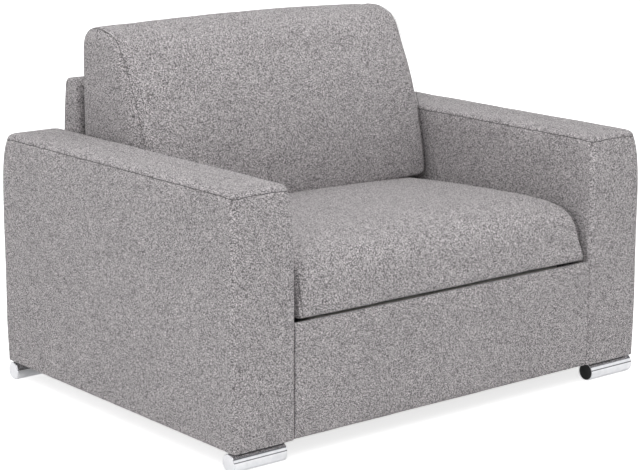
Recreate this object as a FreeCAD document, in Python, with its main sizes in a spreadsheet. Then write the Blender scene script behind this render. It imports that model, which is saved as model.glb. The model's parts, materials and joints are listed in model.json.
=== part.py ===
import FreeCAD, Part
import Sketcher
import math
import os

# Convertible chair bed: a box-arm lounge chair whose seat and back turn over to make a single bed.
# The chair faces -Y. In the sheet, "setback" and "at" sizes count from the front plane towards the rear.

doc = FreeCAD.newDocument("chair_bed")
sheet = doc.addObject("Spreadsheet::Sheet", "Sheet")


class Dim:
    """A size with its value and the sheet expression that gives it."""

    def __init__(self, value, text):
        self.value = value
        self.text = text

    def __add__(self, other):
        other = as_dim(other)
        return Dim(self.value + other.value, "(%s + %s)" % (self.text, other.text))

    __radd__ = __add__

    def __sub__(self, other):
        other = as_dim(other)
        return Dim(self.value - other.value, "(%s - %s)" % (self.text, other.text))

    def __rsub__(self, other):
        return as_dim(other) - self

    def __mul__(self, other):
        other = as_dim(other)
        return Dim(self.value * other.value, "(%s * %s)" % (self.text, other.text))

    __rmul__ = __mul__

    def __truediv__(self, other):
        other = as_dim(other)
        return Dim(self.value / other.value, "(%s / %s)" % (self.text, other.text))

    def __neg__(self):
        return Dim(-self.value, "(0 - %s)" % self.text)


def as_dim(thing):
    if isinstance(thing, Dim):
        return thing
    return Dim(float(thing), "%.6g" % thing)


def num(thing):
    return as_dim(thing).value


row_count = [0]


def size(alias, value):
    """Writes one driving size into the sheet and gives it back as a Dim."""
    row_count[0] += 1
    cell = "B%d" % row_count[0]
    sheet.set("A%d" % row_count[0], alias)
    sheet.set(cell, str(value))
    sheet.setAlias(cell, alias)
    return Dim(float(value), "Sheet." + alias)


# Outer shell
width = size("overall_width", 1250)
depth = size("overall_depth", 948)
arm_width = size("arm_width", 168)
arm_base = size("arm_base", 46)
arm_side_top = size("arm_side_top", 608)
arm_pad_rise = size("arm_pad_rise", 8)
arm_pad_roll = size("arm_pad_edge_roll", 34)
arm_crown = size("arm_crown", 4)
cloth = size("cloth_and_foam", 6)
board = size("arm_board", 16)

# Feet
foot_diameter = size("foot_diameter", 44)
foot_wall = size("foot_wall", 2)
foot_flat = size("foot_floor_flat", 1)
foot_top_flat = size("foot_top_flat", 1)
foot_setback = size("foot_setback", 24)
foot_inset = size("foot_inner_inset", 22)
cap_thick = size("foot_cap_thickness", 3)
cap_spigot = size("foot_cap_spigot", 8)
plug_recess = size("foot_plug_recess", 2)
plug_thick = size("foot_plug_thickness", 6)
saddle_length = size("foot_saddle_length", 120)
saddle_width = size("foot_saddle_width", 26)

# Front panel and rear panel between the arms
skirt_top = size("front_panel_top", 309)
skirt_cover = size("front_panel_cover", 8)
skirt_board = size("front_panel_board", 14)
skirt_side_gap = size("front_panel_side_gap", 4)
rear_gap = size("rear_panel_gap", 7)
rear_thick = size("rear_panel_thickness", 64)
rear_below = size("rear_panel_below_top", 130)
rear_lean = size("rear_panel_lean", 14)
rear_cover = size("rear_panel_cover", 8)
rear_board = size("rear_panel_board", 14)
rear_ease = size("rear_panel_top_ease", 15)
beam = size("floor_beam", 25)
beam_gap = size("floor_beam_setback", 2)

# Folding bed: levels and lengths
seat_level = size("seat_frame_level", 310)
mattress = size("mattress_thickness", 100)
face_gap = size("mattress_face_gap", 5)
tube = size("frame_tube", 25)
tube_wall = size("frame_tube_wall", 2)
frame_side_gap = size("frame_side_gap", 62)
mattress_inset = size("mattress_inset", 5)
fold_setback = size("fold_pivot_setback", 48)
fold_clear = size("fold_pivot_clearance", 2)
fold_lap = size("fold_pivot_lap", 14)
head_end = size("head_section_end", 800)
head_rail_start = size("head_rail_start", 112)
seat_rail_start = size("seat_rail_start", 54)
seat_rail_end = size("seat_rail_end", 700)
knuckle_at = size("back_pivot_at", 730)
back_rail_base = size("back_rail_base", 340)
back_rail_below = size("back_rail_below_top", 94)
back_mattress_over = size("back_mattress_over_rail", 6)
slat = size("slat_thickness", 5)
slat_width = size("slat_width", 52)

# Links, plates and pins
link_length = size("link_length", 150)
link_angle = size("link_rest_angle", 34.6)
link_open = size("link_open_angle", 92.5)
link_front = size("front_link_at", 177)
link_pitch = size("link_spacing", 400)
link_plate = size("link_plate", 6)
link_wide = size("link_width", 26)
side_plate = size("side_plate", 6)
side_play = size("side_play", 2)
shaft = size("shaft_diameter", 14)
pin = size("pin_diameter", 12)
pin_head = size("pin_head", 20)
pin_head_thick = size("pin_head_thickness", 3)
run_fit = size("running_clearance", 0.06)
open_fit = size("open_pivot_clearance", 0.8)
ear = size("ear_plate", 6)
ear_play = size("ear_play", 1)
boss = size("pivot_boss_radius", 14)
ear_a_reach = size("head_ear_reach", 78)
ear_b_reach = size("seat_ear_reach", 56)
knee_reach = size("knuckle_reach", 60)
spacer_step = size("ear_spacer_step", 8)

# Cushions
cushion_gap = size("cushion_side_gap", 14)
seat_front = size("seat_front_at", 4)
seat_line = size("seat_front_line", 314)
seat_deck = size("seat_deck_board", 6)
seat_end = size("seat_cushion_end", 690)
seat_crown = size("seat_crown", 10)
seat_lip = size("seat_front_lip", 8)
seat_rise = size("seat_cushion_rise", 120)
seat_rear_rise = size("seat_cushion_rear_rise", 91)
seat_roll = size("seat_front_roll", 110)
back_base = size("back_cushion_base", 440)
back_face = size("back_cushion_face_at", 573)
cap_rise = size("back_cap_rise", 114)
back_slope = size("back_face_slope", 61)
back_wrap = size("back_block_wrap", 22)
back_height = size("back_block_height", 874)
back_crown = size("back_crown", 8)
drawn_in = size("cushion_drawn_in", 9)
flap = size("rear_flap", 6)
flap_drop = size("rear_flap_drop", 96)

# Foot-end legs
leg_pivot_z = size("leg_pivot_height", 520)
leg_plate = size("leg_plate", 5)
leg_wide = size("leg_width", 28)
leg_side_gap = size("leg_side_gap", 2)
glide = size("glide_height", 8)
glide_lip = size("glide_lip", 0.6)
sleeve_clear = size("leg_sleeve_clearance", 1)

doc.recompute()

half = width / 2
inner = half - arm_width
frame_half = inner - frame_side_gap
back_rail_top = back_height - back_rail_below
back_mattress_top = back_rail_top + back_mattress_over
back_split = back_height - cap_rise
back_rear = knuckle_at + mattress + back_wrap
rear_front = back_rear + rear_gap + rear_lean / 2
rear_top = back_height - rear_below
flap_base = back_mattress_top - flap_drop
link_rad = math.radians(link_angle.value)
link_sin = Dim(math.sin(link_rad), "sin(Sheet.link_rest_angle * 1 deg)")
link_cos = Dim(math.cos(link_rad), "cos(Sheet.link_rest_angle * 1 deg)")
open_sin = Dim(math.sin(math.radians(link_open.value)), "sin(Sheet.link_open_angle * 1 deg)")

# Levels that follow from the driving sizes
head_level = seat_level - mattress * 2 - face_gap
head_rail_z = head_level - tube
fold_z = seat_level - mattress - face_gap / 2
pivot_a_z = head_rail_z + tube / 2
pivot_root_z = pivot_a_z + link_length * link_sin
link_front_a = link_front + link_length * link_cos
link_rear = link_front + link_pitch
link_rear_a = link_front_a + link_pitch
mattress_half = frame_half - mattress_inset
back_rail_u = knuckle_at - tube
leg_pivot_u = knuckle_at - tube / 2
cushion_half = inner - cushion_gap
link_outer = inner - side_plate - side_play
link_inner = link_outer - link_plate
leg_inner = cushion_half + leg_side_gap
leg_outer = leg_inner + leg_plate
ear_a_out = frame_half + ear
ear_b_in = ear_a_out + ear_play
ear_b_out = ear_b_in + ear
foot_r = foot_diameter / 2
# The bed's rise fixes the leg's length: its glide meets the floor when the bed is open
rise = link_length * (open_sin + link_sin)
leg_length = fold_z * 2 + rise - seat_level - tube / 2 - glide
arm_core_front = cloth
arm_core_rear = depth - cloth

shape_nodes = []
own_setback = {}


def node(obj, label):
    """Names a sub-part and moves it from front-plane coordinates to the chair's own origin."""
    obj.Label = label
    start = own_setback.get(obj.Name, "0")
    obj.setExpression("Placement.Base.y", "%s - %s / 2" % (start, depth.text))
    shape_nodes.append(obj)
    return obj


def bind(obj, prop, dim):
    dim = as_dim(dim)
    setattr(obj, prop, dim.value)
    obj.setExpression(prop, dim.text)


def place(obj, x, y, z):
    obj.Placement = FreeCAD.Placement(FreeCAD.Vector(num(x), num(y), num(z)), obj.Placement.Rotation)
    obj.setExpression("Placement.Base.x", as_dim(x).text)
    obj.setExpression("Placement.Base.y", as_dim(y).text)
    obj.setExpression("Placement.Base.z", as_dim(z).text)
    own_setback[obj.Name] = as_dim(y).text


def box(name, x0, x1, y0, y1, z0, z1):
    obj = doc.addObject("Part::Box", name)
    bind(obj, "Length", as_dim(x1) - x0)
    bind(obj, "Width", as_dim(y1) - y0)
    bind(obj, "Height", as_dim(z1) - z0)
    place(obj, x0, y0, z0)
    return obj


def rod(name, radius, x0, x1, y, z):
    """A round bar along X."""
    obj = doc.addObject("Part::Cylinder", name)
    bind(obj, "Radius", radius)
    bind(obj, "Height", as_dim(x1) - x0)
    obj.Placement = FreeCAD.Placement(FreeCAD.Vector(), FreeCAD.Rotation(FreeCAD.Vector(0, 1, 0), 90))
    place(obj, x0, y, z)
    return obj


def cut(name, base, tool):
    obj = doc.addObject("Part::Cut", name)
    obj.Base = base
    obj.Tool = tool
    return obj


def fuse(name, parts):
    obj = doc.addObject("Part::MultiFuse", name)
    obj.Shapes = parts
    return obj


def group(name, parts):
    obj = doc.addObject("Part::Compound", name)
    obj.Links = parts
    return obj


def mirrored(name, source):
    """The same piece on the other side of the chair's middle plane."""
    obj = doc.addObject("Part::Mirroring", name)
    obj.Source = source
    obj.Base = FreeCAD.Vector(0, 0, 0)
    obj.Normal = FreeCAD.Vector(1, 0, 0)
    return obj


def both(name, source):
    return group(name, [source, mirrored(name + "_other", source)])


def plane_of(body, role):
    for feature in body.Origin.OriginFeatures:
        if feature.Role == role:
            return feature


def outline_sketch(body, name, points, offset, circles=()):
    """A closed outline on the side plane, each corner placed from the sheet, with round holes."""
    sketch = body.newObject("Sketcher::SketchObject", name)
    sketch.AttachmentSupport = [(plane_of(body, "YZ_Plane"), "")]
    sketch.MapMode = "FlatFace"
    sketch.AttachmentOffset = FreeCAD.Placement(FreeCAD.Vector(0, 0, num(offset)), FreeCAD.Rotation())
    sketch.setExpression("AttachmentOffset.Base.z", as_dim(offset).text)
    count = len(points)
    for i in range(count):
        a = points[i]
        b = points[(i + 1) % count]
        start = FreeCAD.Vector(num(a[0]), num(a[1]), 0)
        end = FreeCAD.Vector(num(b[0]), num(b[1]), 0)
        sketch.addGeometry(Part.LineSegment(start, end), False)
    for i in range(count):
        sketch.addConstraint(Sketcher.Constraint("Coincident", i, 2, (i + 1) % count, 1))
    for i in range(count):
        for kind, dim in (("DistanceX", points[i][0]), ("DistanceY", points[i][1])):
            dim = as_dim(dim)
            index = sketch.addConstraint(Sketcher.Constraint(kind, -1, 1, i, 1, dim.value))
            sketch.setExpression("Constraints[%d]" % index, dim.text)
    for y, z, radius in circles:
        centre = FreeCAD.Vector(num(y), num(z), 0)
        item = sketch.addGeometry(Part.Circle(centre, FreeCAD.Vector(0, 0, 1), num(radius)), False)
        for kind, dim in (("DistanceX", y), ("DistanceY", z)):
            dim = as_dim(dim)
            index = sketch.addConstraint(Sketcher.Constraint(kind, -1, 1, item, 3, dim.value))
            sketch.setExpression("Constraints[%d]" % index, dim.text)
        radius = as_dim(radius)
        index = sketch.addConstraint(Sketcher.Constraint("Radius", item, radius.value))
        sketch.setExpression("Constraints[%d]" % index, radius.text)
    return sketch


def plate(name, points, x0, x1, circles=()):
    """A flat plate or prism across X between x0 and x1 with the given side outline."""
    body = doc.addObject("PartDesign::Body", name)
    sketch = outline_sketch(body, name + "_outline", points, x0, circles)
    pad = body.newObject("PartDesign::Pad", name + "_pad")
    pad.Profile = sketch
    bind(pad, "Length", as_dim(x1) - x0)
    body.Tip = pad
    return body


def soft(name, points, half_width, crown, draw, ends=(0.93, 0.55)):
    """A cushion lofted across X. Each point has a place and the way in which its cover swells."""
    obj = doc.addObject("Part::Feature", name)
    h = num(half_width)
    stations = [-1.0, -ends[0], -ends[1], 0.0, ends[1], ends[0], 1.0]
    wires = []
    for s in stations:
        if abs(s) == 1.0:
            swell = -num(draw)
        else:
            swell = num(crown) * (1.0 - (s / ends[0]) ** 2)
        corners = []
        for u, z, du, dz in points:
            corners.append(FreeCAD.Vector(s * h, num(u) + du * swell, num(z) + dz * swell))
        corners.append(corners[0])
        wires.append(Part.makePolygon(corners))
    obj.Shape = Part.makeLoft(wires, True, True)
    return obj


def rect_tube(name, x0, x1, y0, y1, z0, z1, along, wall):
    """A rectangular tube, open at both ends, along the axis named."""
    outer = box(name + "_outer", x0, x1, y0, y1, z0, z1)
    w = as_dim(wall)
    if along == "x":
        bore = box(name + "_bore", as_dim(x0) - 1, as_dim(x1) + 1, y0 + w, y1 - w, z0 + w, z1 - w)
    elif along == "y":
        bore = box(name + "_bore", x0 + w, x1 - w, as_dim(y0) - 1, as_dim(y1) + 1, z0 + w, z1 - w)
    else:
        bore = box(name + "_bore", x0 + w, x1 - w, y0 + w, y1 - w, as_dim(z0) - 1, as_dim(z1) + 1)
    return cut(name + "_tube", outer, bore)


def drilled(name, base, rods):
    if len(rods) > 1:
        tool = fuse(name + "_holes", rods)
    else:
        tool = rods[0]
    return cut(name, base, tool)


# Arms: a hollow board box in an upholstered cover, with a crowned top panel
for side, sign in (("r", 1), ("l", -1)):
    inside = inner if sign == 1 else -half
    outside = half if sign == 1 else -inner
    core_box = box("arm_core_box_" + side, inside + cloth, outside - cloth, arm_core_front, arm_core_rear,
                   arm_base, arm_side_top)
    core_void = box("arm_core_void_" + side, inside + cloth + board, outside - cloth - board,
                    arm_core_front + board, arm_core_rear - board, arm_base + board, arm_side_top - board)
    node(cut("ArmCore_" + side, core_box, core_void), "arm_core_" + side)
    cover_box = box("arm_cover_box_" + side, inside, outside, 0, depth, arm_base, arm_side_top)
    cover_void = box("arm_cover_void_" + side, inside + cloth, outside - cloth, arm_core_front,
                     arm_core_rear, arm_base - 1, arm_side_top + 1)
    node(cut("ArmCover_" + side, cover_box, cover_void), "arm_cover_" + side)

# The top panel is lofted across the arm, rounded down at its front, rear and sides
pad_top = arm_side_top + arm_pad_rise
roll = arm_pad_roll
pad_points = (
    (0, arm_side_top, 0, 0),
    (roll * 0.03, arm_side_top + arm_pad_rise * 0.45, 0, 0.3),
    (roll * 0.15, arm_side_top + arm_pad_rise * 0.8, 0, 0.6),
    (roll * 0.4, arm_side_top + arm_pad_rise * 0.96, 0, 1),
    (roll, pad_top, 0, 1),
    (depth - roll, pad_top, 0, 1),
    (depth - roll * 0.4, arm_side_top + arm_pad_rise * 0.96, 0, 1),
    (depth - roll * 0.15, arm_side_top + arm_pad_rise * 0.8, 0, 0.6),
    (depth - roll * 0.03, arm_side_top + arm_pad_rise * 0.45, 0, 0.3),
    (depth, arm_side_top, 0, 0),
)
for side, sign in (("r", 1), ("l", -1)):
    top = soft("ArmTop_" + side, pad_points, arm_width / 2, arm_crown, arm_pad_rise * 0.35, (0.93, 0.5))
    shift = FreeCAD.Vector(sign * num(half - arm_width / 2), 0, 0)
    top.Placement = FreeCAD.Placement(shift, FreeCAD.Rotation())
    top.setExpression("Placement.Base.x", "%d * %s" % (sign, (half - arm_width / 2).text))
    node(top, "arm_top_" + side)

# Feet: a short bright tube lies crosswise under each end of each arm, on a narrow flat
foot_z = foot_r - foot_flat
foot_crest = foot_z + foot_r - foot_top_flat


def foot_floor(name, at):
    """The slab under the floor plane, which trims the flat on a foot."""
    return box(name, -half - 1, half + 1, at - foot_diameter, at + foot_diameter, -foot_diameter, 0)


def foot_roof(name, at):
    """The slab over the milled top of a foot."""
    return box(name, -half - 1, half + 1, at - foot_diameter, at + foot_diameter, foot_crest,
               foot_crest + foot_diameter)


saddles = []
plugs = []
for place_name, sign, at in (("fr", 1, foot_setback), ("fl", -1, foot_setback),
                             ("rr", 1, depth - foot_setback), ("rl", -1, depth - foot_setback)):
    start = inner + foot_inset
    stop = half - cap_thick
    if sign == -1:
        start, stop = -stop, -start
    outer_rod = rod("foot_outer_" + place_name, foot_r, start, stop, at, foot_z)
    bore_rod = rod("foot_bore_" + place_name, foot_r - foot_wall, start - 1, stop + 1, at, foot_z)
    trims = [bore_rod, foot_floor("foot_floor_" + place_name, at), foot_roof("foot_roof_" + place_name, at)]
    node(drilled("FootTube_" + place_name, outer_rod, trims), "foot_tube_" + place_name)
    if sign == 1:
        disc = rod("foot_disc_" + place_name, foot_r, stop, stop + cap_thick, at, foot_z)
        spigot = rod("foot_spigot_" + place_name, foot_r - foot_wall, stop - cap_spigot, stop, at, foot_z)
        plug = rod("foot_plug_rod_" + place_name, foot_r - foot_wall, start + plug_recess,
                   start + plug_recess + plug_thick, at, foot_z)
    else:
        disc = rod("foot_disc_" + place_name, foot_r, start - cap_thick, start, at, foot_z)
        spigot = rod("foot_spigot_" + place_name, foot_r - foot_wall, start, start + cap_spigot, at, foot_z)
        plug = rod("foot_plug_rod_" + place_name, foot_r - foot_wall, stop - plug_recess - plug_thick,
                   stop - plug_recess, at, foot_z)
    plugs.append(plug)
    cap = fuse("foot_cap_whole_" + place_name, [disc, spigot])
    node(cut("FootCap_" + place_name, cap, foot_floor("foot_cap_floor_" + place_name, at)),
         "foot_cap_" + place_name)
    saddle_mid = half - arm_width / 2
    if sign == -1:
        saddle_mid = -saddle_mid
    block = box("foot_saddle_block_" + place_name, saddle_mid - saddle_length / 2,
                saddle_mid + saddle_length / 2, at - saddle_width / 2, at + saddle_width / 2,
                foot_crest - foot_wall * 1.5, arm_base)
    nest_round = rod("foot_saddle_nest_" + place_name, foot_r, saddle_mid - saddle_length,
                     saddle_mid + saddle_length, at, foot_z)
    nest = cut("foot_saddle_seat_" + place_name, nest_round, foot_roof("foot_saddle_roof_" + place_name, at))
    saddles.append(cut("foot_saddle_" + place_name, block, nest))
node(group("FootSaddles", saddles), "foot_saddles")
node(group("FootPlugs", plugs), "foot_plugs")

# Front panel under the seat: a board across the arms with an upholstered face and top edge
skirt_back = skirt_cover + skirt_board
skirt_half = inner - skirt_side_gap
node(box("FrontBoard", -inner, inner, skirt_cover, skirt_back, arm_base, skirt_top - skirt_cover),
     "front_board")
skirt_points = [
    (0, arm_base), (skirt_cover, arm_base), (skirt_cover, skirt_top - skirt_cover),
    (skirt_back, skirt_top - skirt_cover), (skirt_back, skirt_top), (skirt_cover, skirt_top),
    (skirt_cover * 0.3, skirt_top - skirt_cover * 0.3), (0, skirt_top - skirt_cover),
]
node(plate("FrontPanel", skirt_points, -skirt_half, skirt_half), "front_panel")

# Rear panel: a board box across the arms, lower than the back cushion, in its own cover
lean = rear_lean
rear_back = rear_front + rear_thick
rear_knee = arm_side_top
rear_points = [
    (rear_front, arm_base), (rear_back, arm_base), (rear_back, rear_knee),
    (rear_back - lean, rear_top - rear_ease), (rear_back - lean - rear_ease, rear_top),
    (rear_front - lean / 2 + rear_ease, rear_top), (rear_front - lean / 2, rear_top - rear_ease),
    (rear_front, rear_knee),
]
c = rear_cover
rear_core_points = [
    (rear_front + c, arm_base), (rear_back - c, arm_base), (rear_back - c, rear_knee),
    (rear_back - lean - c, rear_top - rear_ease), (rear_back - lean - rear_ease, rear_top - c),
    (rear_front - lean / 2 + rear_ease, rear_top - c), (rear_front - lean / 2 + c, rear_top - rear_ease),
    (rear_front + c, rear_knee),
]
deep = rear_cover + rear_board
rear_hollow_points = [
    (rear_front + deep, arm_base + rear_board), (rear_back - deep, arm_base + rear_board),
    (rear_back - deep, rear_knee), (rear_back - lean - deep, rear_top - deep),
    (rear_front - lean / 2 + deep, rear_top - deep), (rear_front + deep, rear_knee),
]
rear_shell = plate("rear_shell", rear_points, -inner, inner)
rear_room = plate("rear_room", rear_core_points, -inner + c, inner - c)
node(cut("RearCover", rear_shell, rear_room), "rear_panel_cover")
rear_box = plate("rear_box", rear_core_points, -inner + c, inner - c)
rear_hollow = plate("rear_hollow", rear_hollow_points, -inner + deep, inner - deep)
node(cut("RearBoard", rear_box, rear_hollow), "rear_panel_core")

# Two steel beams join the arms near the floor
beam_z = arm_base + 2
front_beam = rect_tube("front_beam", -inner, inner, skirt_back + beam_gap, skirt_back + beam_gap + beam,
                       beam_z, beam_z + beam, "x", tube_wall)
rear_beam = rect_tube("rear_beam", -inner, inner, rear_front - beam_gap - beam, rear_front - beam_gap,
                      beam_z, beam_z + beam, "x", tube_wall)
node(group("FloorBeams", [front_beam, rear_beam]), "floor_beams")

# Steel side plate on the inner face of each arm, with two fixed pivot pins
plate_low = pivot_root_z - link_wide
plate_high = pivot_root_z + link_wide
plate_from = link_front - link_wide
plate_to = link_rear + link_wide
plate_points = [
    (plate_from, plate_low), (plate_to, plate_low), (plate_to, plate_high), (plate_from, plate_high),
]
root_holes = ((link_front, pivot_root_z, pin / 2), (link_rear, pivot_root_z, pin / 2))
node(plate("SidePlateR", plate_points, inner - side_plate, inner, root_holes), "side_plate_r")
node(plate("SidePlateL", plate_points, -inner, side_plate - inner, root_holes), "side_plate_l")
root_pins = []
for tag, at in (("front", link_front), ("rear", link_rear)):
    stem = rod("root_pin_stem_" + tag, pin / 2, link_inner - side_play / 4, inner, at, pivot_root_z)
    head = rod("root_pin_head_" + tag, pin_head / 2, link_inner - side_play / 4 - pin_head_thick,
               link_inner - side_play / 4, at, pivot_root_z)
    root_pins.append(both("root_pin_" + tag, fuse("root_pin_one_" + tag, [stem, head])))
node(group("RootPins", root_pins), "root_pins")

# Carrying links: two pairs that lift the head section forward and up
link_reach = link_wide / 2


def link(name, at_root, at_head, x0, x1):
    """A flat link with rounded ends between its pin hole and its shaft hole."""
    flat = doc.addObject("Part::Box", name + "_flat")
    bind(flat, "Length", as_dim(x1) - x0)
    bind(flat, "Width", link_length)
    bind(flat, "Height", link_wide)
    turn = FreeCAD.Rotation(FreeCAD.Vector(1, 0, 0), -link_angle.value)
    flat.Placement = FreeCAD.Placement(FreeCAD.Vector(), turn)
    flat.setExpression("Placement.Rotation.Angle", "-1 deg * Sheet.link_rest_angle")
    place(flat, x0, at_root - link_reach * link_sin, pivot_root_z - link_reach * link_cos)
    near = rod(name + "_near", link_reach, x0, x1, at_root, pivot_root_z)
    far = rod(name + "_far", link_reach, x0, x1, at_head, pivot_a_z)
    whole = fuse(name + "_whole", [flat, near, far])
    pin_hole = rod(name + "_pin_hole", pin / 2 + run_fit, x0 - 1, x1 + 1, at_root, pivot_root_z)
    shaft_hole = rod(name + "_shaft_hole", shaft / 2, x0 - 1, x1 + 1, at_head, pivot_a_z)
    return drilled(name, whole, [pin_hole, shaft_hole])


for tag, at_root, at_head in (("front", link_front, link_front_a), ("rear", link_rear, link_rear_a)):
    node(link(tag + "_link_R", at_root, at_head, link_inner, link_outer), tag + "_link_r")
    node(link(tag + "_link_L", at_root, at_head, -link_outer, -link_inner), tag + "_link_l")
    node(rod(tag + "_ShaftRod", shaft / 2, -link_outer, link_outer, at_head, pivot_a_z), tag + "_shaft")

# Head section: rails, cross bars, slats and mattress, lying lowest in the closed chair
rail_in = frame_half - tube
head_rail = rect_tube("head_rail_one", rail_in, frame_half, head_rail_start, head_end, head_rail_z,
                      head_level, "y", tube_wall)
head_holes = [
    rod("head_hole_front", shaft / 2 + run_fit, rail_in - 1, frame_half + 1, link_front_a, pivot_a_z),
    rod("head_hole_rear", shaft / 2 + open_fit, rail_in - 1, frame_half + 1, link_rear_a, pivot_a_z),
]
node(both("HeadRails", drilled("head_rail_drilled", head_rail, head_holes)), "head_rails")
head_bars = []
for tag, at in (("front", head_rail_start), ("mid", (link_front_a + link_rear_a) / 2 - tube / 2),
                ("rear", head_end - tube)):
    head_bars.append(rect_tube("head_bar_" + tag, -rail_in, rail_in, at, at + tube, head_rail_z, head_level - slat,
                               "x", tube_wall))
node(group("HeadBars", head_bars), "head_bars")


slat_list = []
for i in range(8):
    share = (i + 0.5) / 8.0
    mid = (head_rail_start + tube) * (1 - share) + (head_end - tube) * share
    slat_list.append(box("head_slat_%d" % i, -rail_in, rail_in, mid - slat_width / 2, mid + slat_width / 2,
                         head_level - slat, head_level))
node(group("HeadSlats", slat_list), "head_slats")
head_mattress_start = fold_setback + fold_lap + fold_clear
quilt = size("mattress_edge_round", 8)
doc.recompute()


def mattress_points(y0, y1, z0, z1):
    """Side outline of a mattress section with eased long edges."""
    e = quilt
    return [
        (y0 + e, z0), (y1 - e, z0), (y1, z0 + e), (y1, z1 - e),
        (y1 - e, z1), (y0 + e, z1), (y0, z1 - e), (y0, z0 + e),
    ]


node(plate("HeadMattress", mattress_points(head_mattress_start, head_end, head_level, head_level + mattress),
           -mattress_half, mattress_half), "head_mattress")
ear_a_points = [
    (head_rail_start, head_rail_z), (head_rail_start + ear_a_reach, head_rail_z),
    (head_rail_start + ear_a_reach, head_level),
    (fold_setback + boss * 3, fold_z + boss), (fold_setback - boss + 4, fold_z + boss),
    (fold_setback - boss, fold_z + boss - 4), (fold_setback - boss, fold_z - boss + 4),
    (fold_setback, fold_z - boss), (fold_setback + boss, fold_z - boss - 8),
    (head_rail_start, head_level + 13),
]
fold_hole = ((fold_setback, fold_z, pin / 2),)
node(both("HeadEars", plate("head_ear_one", ear_a_points, frame_half, ear_a_out, fold_hole)), "head_ears")
head_pin_stem = rod("fold_pin_stem", pin / 2, frame_half - 2, ear_b_out + ear_play / 2, fold_setback, fold_z)
head_pin_head = rod("fold_pin_head", pin_head / 2, ear_b_out + ear_play / 2,
                    ear_b_out + ear_play / 2 + pin_head_thick, fold_setback, fold_z)
node(both("FoldPins", fuse("fold_pin_one", [head_pin_stem, head_pin_head])), "fold_pins")

# Seat section: upside down under the seat cushion, hinged to the head section at the front
seat_rail_top = seat_level + tube
seat_rail = rect_tube("seat_rail_one", rail_in, frame_half, seat_rail_start, seat_rail_end, seat_level,
                      seat_rail_top, "y", tube_wall)
node(both("SeatRails", seat_rail), "seat_rails")
seat_bars = []
for tag, at in (("front", seat_rail_start), ("mid", (seat_rail_start + seat_rail_end - tube) / 2),
                ("rear", seat_rail_end - tube)):
    seat_bars.append(rect_tube("seat_bar_" + tag, -rail_in, rail_in, at, at + tube, seat_level + slat, seat_rail_top,
                               "x", tube_wall))
node(group("SeatBars", seat_bars), "seat_bars")
slat_list = []
for i in range(8):
    share = (i + 0.5) / 8.0
    mid = (seat_rail_start + tube) * (1 - share) + (seat_rail_end - tube) * share
    slat_list.append(box("seat_slat_%d" % i, -rail_in, rail_in, mid - slat_width / 2, mid + slat_width / 2,
                         seat_level, seat_level + slat))
node(group("SeatSlats", slat_list), "seat_slats")
seat_mattress_start = fold_setback - fold_lap + fold_clear
node(plate("SeatMattress", mattress_points(seat_mattress_start, knuckle_at - fold_clear,
                                           seat_level - mattress, seat_level),
           -mattress_half, mattress_half), "seat_mattress")
run_hole = pin / 2 + run_fit
ear_b_points = [
    (fold_setback - boss, fold_z), (fold_setback - boss + 2, fold_z - boss + 3), (fold_setback, fold_z - boss),
    (fold_setback + boss - 2, fold_z - boss + 3), (fold_setback + boss + 4, fold_z + 8),
    (seat_rail_start + ear_b_reach, seat_level), (seat_rail_start + ear_b_reach, seat_rail_top),
    (seat_rail_start + 2, seat_rail_top),
    (seat_rail_start, seat_level - 10),
]
ear_b = plate("seat_ear_plate", ear_b_points, ear_b_in, ear_b_out, ((fold_setback, fold_z, run_hole),))
ear_b_block = box("seat_ear_spacer", frame_half, ear_b_in, seat_rail_start + spacer_step,
                  seat_rail_start + ear_b_reach - spacer_step, seat_level, seat_rail_top)
node(both("SeatEars", fuse("seat_ear_one", [ear_b, ear_b_block])), "seat_ears")
knuckle_points = [
    (seat_rail_end - knee_reach, seat_level), (knuckle_at - boss, seat_level - boss + 4), (knuckle_at, seat_level - boss),
    (knuckle_at + boss, seat_level), (knuckle_at, seat_level + boss), (seat_rail_end, seat_rail_top),
    (seat_rail_end - knee_reach, seat_rail_top),
]
knuckle_hole = ((knuckle_at, seat_level, pin / 2),)
node(both("SeatKnuckles", plate("seat_knuckle_one", knuckle_points, frame_half, ear_a_out, knuckle_hole)),
     "seat_knuckles")
knee_stem = rod("back_pin_stem", pin / 2, frame_half - 2, ear_b_out + ear_play / 2, knuckle_at, seat_level)
knee_head = rod("back_pin_head", pin_head / 2, ear_b_out + ear_play / 2,
                ear_b_out + ear_play / 2 + pin_head_thick, knuckle_at, seat_level)
node(both("BackPins", fuse("back_pin_one", [knee_stem, knee_head])), "back_pins")
lip_rear = seat_rail_start - seat_lip
node(box("SeatDeck", -frame_half, frame_half, lip_rear, seat_end, seat_rail_top, seat_rail_top + seat_deck),
     "seat_deck")

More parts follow.
